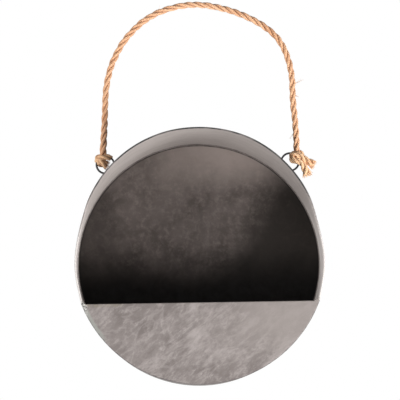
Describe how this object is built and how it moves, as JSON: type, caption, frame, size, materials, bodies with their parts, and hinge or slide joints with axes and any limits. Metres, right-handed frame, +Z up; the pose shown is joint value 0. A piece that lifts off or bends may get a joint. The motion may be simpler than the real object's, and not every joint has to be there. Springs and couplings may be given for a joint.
{
  "type": "hanging wall planter",
  "caption": "Round sheet-metal wall planter with a half-moon front pocket, hung by a rope arch tied to two wire eyes.",
  "frame": {"origin": "centre of the back plate's flat rear face, on the wall plane", "axes": "+Y out of the back into the wall, along the drum's axis; the open front looks along -Y; +Z up; +X to the right seen from the front"},
  "size_m": [0.3, 0.11, 0.4658],
  "materials": {
    "zinc_sheet": "mottled matt zinc patina",
    "eye_wire": "dark drawn wire",
    "solder": "dull soft solder",
    "rope": "laid natural fibre"
  },
  "bodies": {
    "planter": {"back_plate": "zinc_sheet", "rim_band": "zinc_sheet", "pocket_front": "zinc_sheet", "wire_eye_left": "eye_wire", "wire_eye_right": "eye_wire", "eye_solder_left": "solder", "eye_solder_right": "solder", "knot_left": "rope", "knot_right": "rope"},
    "hanger": {"rope": "rope"}
  },
  "joints": [
    {"name": "rope_swing", "type": "hinge", "parent": "planter", "child": "hanger", "pos_m": [-0.11471, -0.055, 0.12291], "axis": [1, 0, 0.0013], "range_deg": [-105, 105]}
  ]
}
